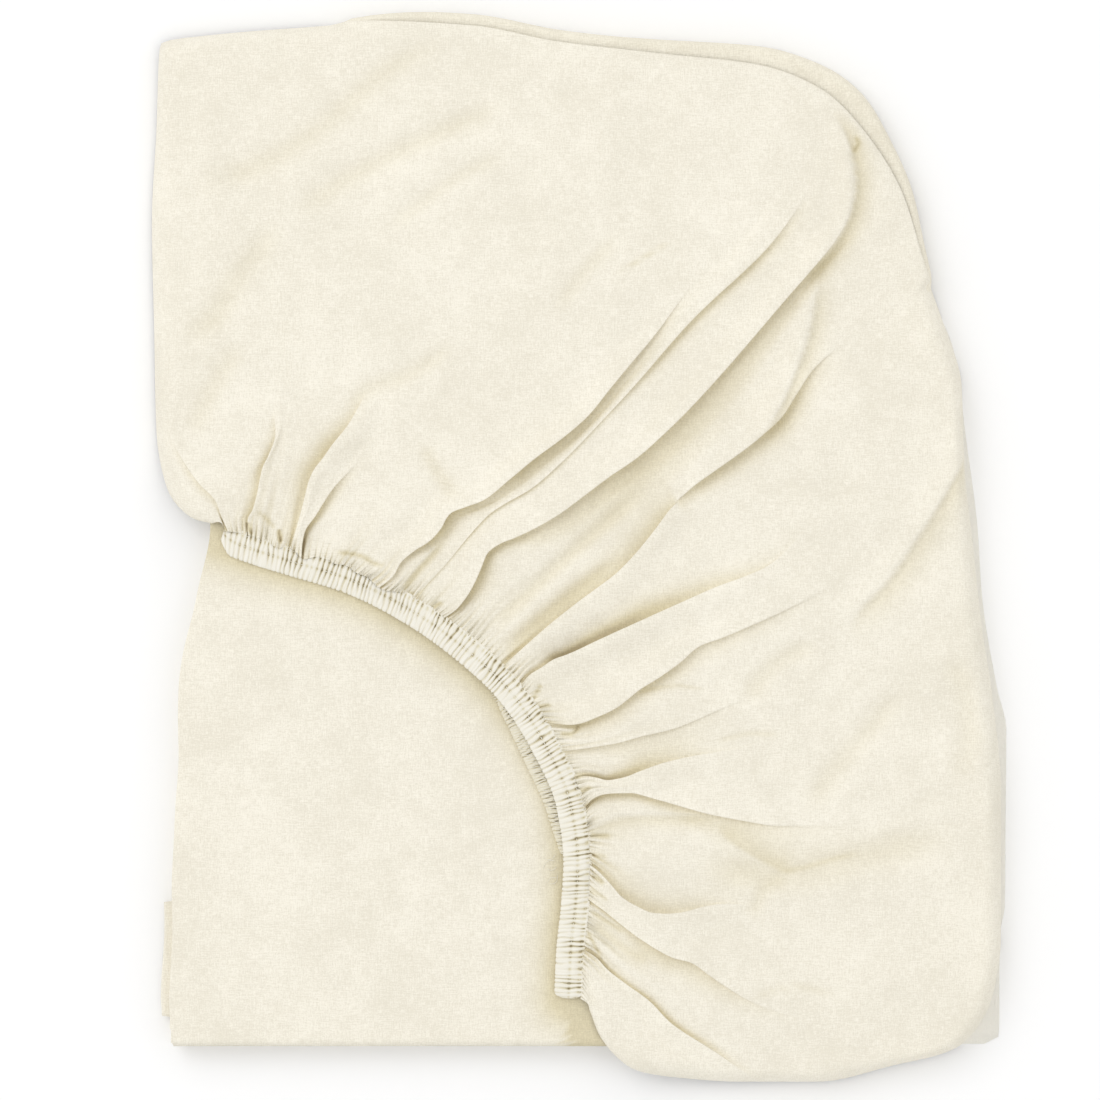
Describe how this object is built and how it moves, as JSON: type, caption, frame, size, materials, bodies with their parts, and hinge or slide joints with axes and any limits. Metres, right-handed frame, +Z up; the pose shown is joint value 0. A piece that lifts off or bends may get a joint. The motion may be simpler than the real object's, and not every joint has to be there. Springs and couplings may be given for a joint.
{
  "type": "folded crib fitted sheet",
  "caption": "Fitted crib sheet of plain woven cloth, folded to a flat packet with its gathered elastic corner pocket on top.",
  "frame": {"origin": "on the resting face of the lowest layer, near the middle of the folded outline", "axes": "+Z up from the surface, +Y along the longer side to the folded back edge, +X to the side where the layers turn up into the pocket"},
  "size_m": [0.37, 0.4625, 0.0263],
  "materials": {
    "cloth": "matt, plain weave",
    "elastic": "matt, gathered and ribbed"
  },
  "bodies": {
    "root": {"sheet": "cloth", "elastic_band": "elastic", "elastic_band_under": "elastic"}
  },
  "joints": []
}
